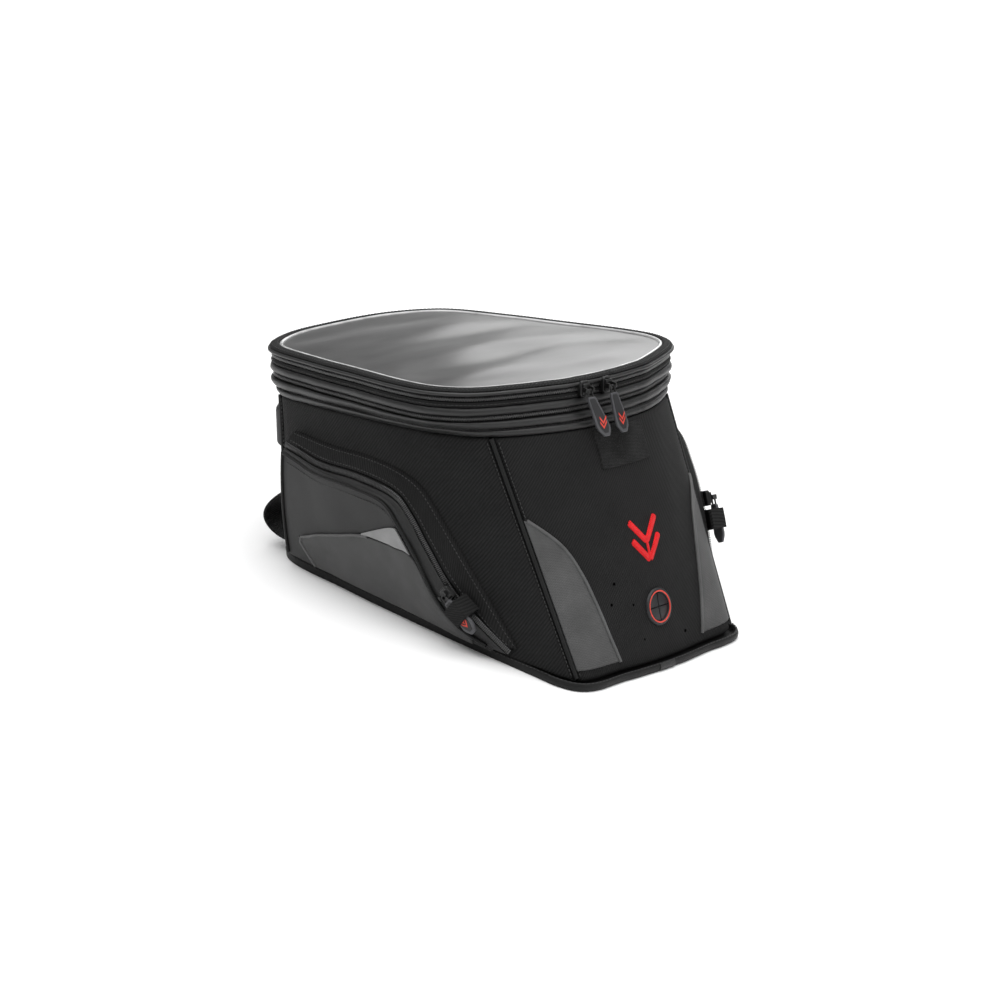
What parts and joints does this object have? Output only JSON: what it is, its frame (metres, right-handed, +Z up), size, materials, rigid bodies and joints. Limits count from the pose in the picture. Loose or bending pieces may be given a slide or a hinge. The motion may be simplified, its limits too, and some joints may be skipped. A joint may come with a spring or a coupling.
{
  "type": "motorcycle tank bag",
  "caption": "Tapered soft tank bag with a hinged zipped lid with map window, an expanding collar and zipped side pockets.",
  "frame": {"origin": "centre of the bounding box on the plane that the base rests on", "axes": "-Y faces the rider (front panel), +Y the handlebar, +Z up; the bag is nearly symmetric about X=0"},
  "size_m": [0.2795, 0.3939, 0.213],
  "materials": {
    "twill": "coarse black ballistic twill",
    "smooth_fabric": "smooth coated black fabric",
    "grey_fabric": "coated dark grey fabric",
    "piping": "fabric covered piping, slight sheen",
    "zip_tape": "coil zip with black tape",
    "dark_metal": "dark painted die-cast",
    "rubber": "moulded satin rubber",
    "red_thread": "red embroidery",
    "window_vinyl": "clear soft vinyl over grey lining",
    "board": "stiff moulded board",
    "hook_tape": "hook and loop tape",
    "webbing": "ribbed webbing"
  },
  "bodies": {
    "bag_body": {"base_board": "board", "bottom_panel": "board", "base_binding": "piping", "tank_ring_adapter": "rubber", "ring_screw_front": "dark_metal", "ring_screw_rear": "dark_metal", "front_panel": "twill", "left_side_panel": "twill", "right_side_panel": "twill", "back_panel": "twill", "front_stiffener": "board", "left_front_piping": "piping", "right_front_piping": "piping", "left_rear_piping": "piping", "right_rear_piping": "piping", "left_front_inlay": "grey_fabric", "right_front_inlay": "grey_fabric", "left_inlay_piping": "piping", "right_inlay_piping": "piping", "hook_patch": "hook_tape", "port_grommet": "rubber", "port_membrane": "rubber", "emblem": "red_thread", "body_top_band": "twill", "expansion_zip_lower": "zip_tape", "expansion_gusset": "smooth_fabric", "left_pocket_gusset": "twill", "right_pocket_gusset": "twill", "carry_handle": "rubber", "left_rear_loop": "webbing", "right_rear_loop": "webbing"},
    "collar": {"expansion_zip_upper": "zip_tape", "collar_band": "smooth_fabric", "main_zip_lower": "zip_tape", "lid_hinge_tape": "twill"},
    "lid": {"main_zip_upper": "zip_tape", "lid_binding": "piping", "lid_frame": "board", "map_window": "window_vinyl", "lid_panel": "smooth_fabric"},
    "left_main_slider": {"left_main_slider": "dark_metal"},
    "right_main_slider": {"right_main_slider": "dark_metal"},
    "left_main_puller": {"left_main_puller": "rubber"},
    "right_main_puller": {"right_main_puller": "rubber"},
    "expansion_slider": {"expansion_slider": "dark_metal"},
    "expansion_puller": {"expansion_puller": "rubber"},
    "left_pocket": {"left_pocket_door": "smooth_fabric", "left_pocket_zip": "zip_tape", "left_pocket_piping": "piping", "left_pocket_inlay": "grey_fabric", "left_puller_garage": "twill"},
    "left_pocket_slider": {"left_pocket_slider": "dark_metal", "left_pocket_puller": "rubber"},
    "right_pocket": {"right_pocket_door": "smooth_fabric", "right_pocket_zip": "zip_tape", "right_pocket_piping": "piping", "right_pocket_inlay": "grey_fabric", "right_puller_garage": "twill"},
    "right_pocket_slider": {"right_pocket_slider": "dark_metal", "right_pocket_puller": "rubber"}
  },
  "joints": [
    {"name": "expansion", "type": "slide", "parent": "bag_body", "child": "collar", "axis": [0, 0.153, 0.9882], "range_m": [0, 0.05], "deforming": ["expansion_gusset"]},
    {"name": "lid_hinge", "type": "hinge", "parent": "collar", "child": "lid", "pos_m": [0, 0.19608, 0.15842], "axis": [-1, 0, 0], "range_deg": [0, 100]},
    {"name": "left_main_slider_travel", "type": "hinge", "parent": "collar", "child": "left_main_slider", "pos_m": [0, 0.11445, 0.17106], "axis": [0, 0.153, 0.9882], "range_deg": [-14, 0]},
    {"name": "left_main_puller_swing", "type": "hinge", "parent": "left_main_slider", "child": "left_main_puller", "pos_m": [-0.03427, -0.10951, 0.20573], "axis": [-0.9888, 0.1478, -0.0229], "range_deg": [0, 100]},
    {"name": "right_main_slider_travel", "type": "hinge", "parent": "collar", "child": "right_main_slider", "pos_m": [0, 0.11445, 0.17106], "axis": [0, 0.153, 0.9882], "range_deg": [0, 18]},
    {"name": "right_main_puller_swing", "type": "hinge", "parent": "right_main_slider", "child": "right_main_puller", "pos_m": [-0.0104, -0.11182, 0.20609], "axis": [-0.999, 0.0448, -0.0069], "range_deg": [0, 100]},
    {"name": "expansion_slider_travel", "type": "hinge", "parent": "bag_body", "child": "expansion_slider", "pos_m": [0, -0.10731, 0.1897], "axis": [0, 0.153, 0.9882], "range_deg": [-14, 0]},
    {"name": "expansion_puller_swing", "type": "hinge", "parent": "expansion_slider", "child": "expansion_puller", "pos_m": [-0.03215, 0.19501, 0.1429], "axis": [0.9945, 0.1033, -0.016], "range_deg": [0, 100]},
    {"name": "left_pocket_opening", "type": "hinge", "parent": "bag_body", "child": "left_pocket", "pos_m": [-0.1098, 0, 0.0072], "axis": [0, -1, 0], "range_deg": [0, 24]},
    {"name": "left_pocket_slider_travel", "type": "slide", "parent": "left_pocket", "child": "left_pocket_slider", "axis": [-0.1629, 0.8226, 0.5447], "range_m": [0, 0.012]},
    {"name": "right_pocket_opening", "type": "hinge", "parent": "bag_body", "child": "right_pocket", "pos_m": [0.1098, 0, 0.0072], "axis": [0, 1, 0], "range_deg": [0, 24]},
    {"name": "right_pocket_slider_travel", "type": "slide", "parent": "right_pocket", "child": "right_pocket_slider", "axis": [0.088, 0.4539, 0.8867], "range_m": [0, 0.025]}
  ]
}
